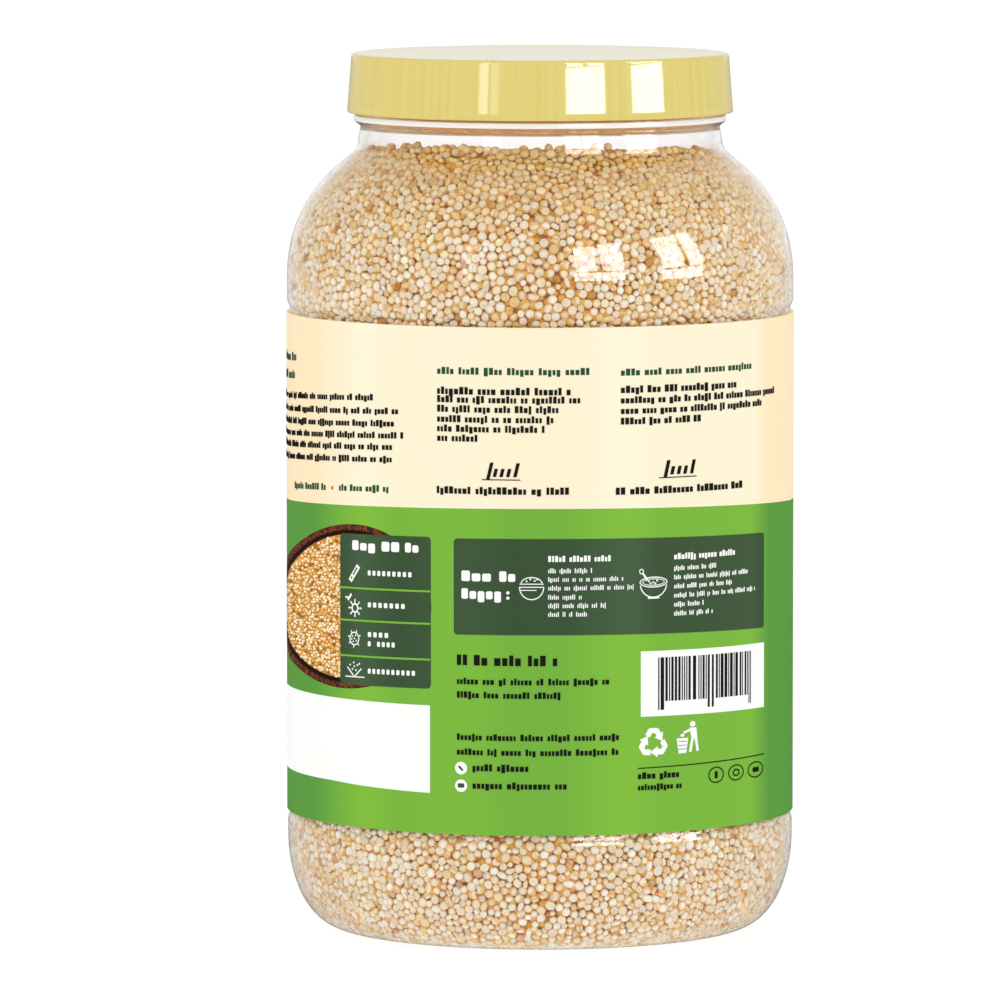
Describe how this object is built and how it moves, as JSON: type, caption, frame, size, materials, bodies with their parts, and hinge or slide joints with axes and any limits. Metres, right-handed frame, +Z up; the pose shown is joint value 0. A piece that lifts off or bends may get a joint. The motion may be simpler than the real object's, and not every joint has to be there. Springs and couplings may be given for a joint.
{
  "type": "jar of quinoa",
  "caption": "Clear round plastic storage jar full of pale quinoa grain, with a yellow screw lid and a green and cream label wrapped round its body.",
  "frame": {"origin": "on the jar's axis, at the level of the flat ring it stands on", "axes": "+Z up along the jar's axis; -Y is the side of the label that the picture shows; +X is to the right of it"},
  "size_m": [0.108, 0.108, 0.1865],
  "materials": {
    "jar": "clear, glossy",
    "lid": "satin, moulded",
    "label": "printed, smooth, with a light gloss",
    "quinoa": "matte, small round grains"
  },
  "bodies": {
    "root": {"jar": "jar", "lid": "lid", "label": "label", "quinoa": "quinoa"}
  },
  "joints": []
}
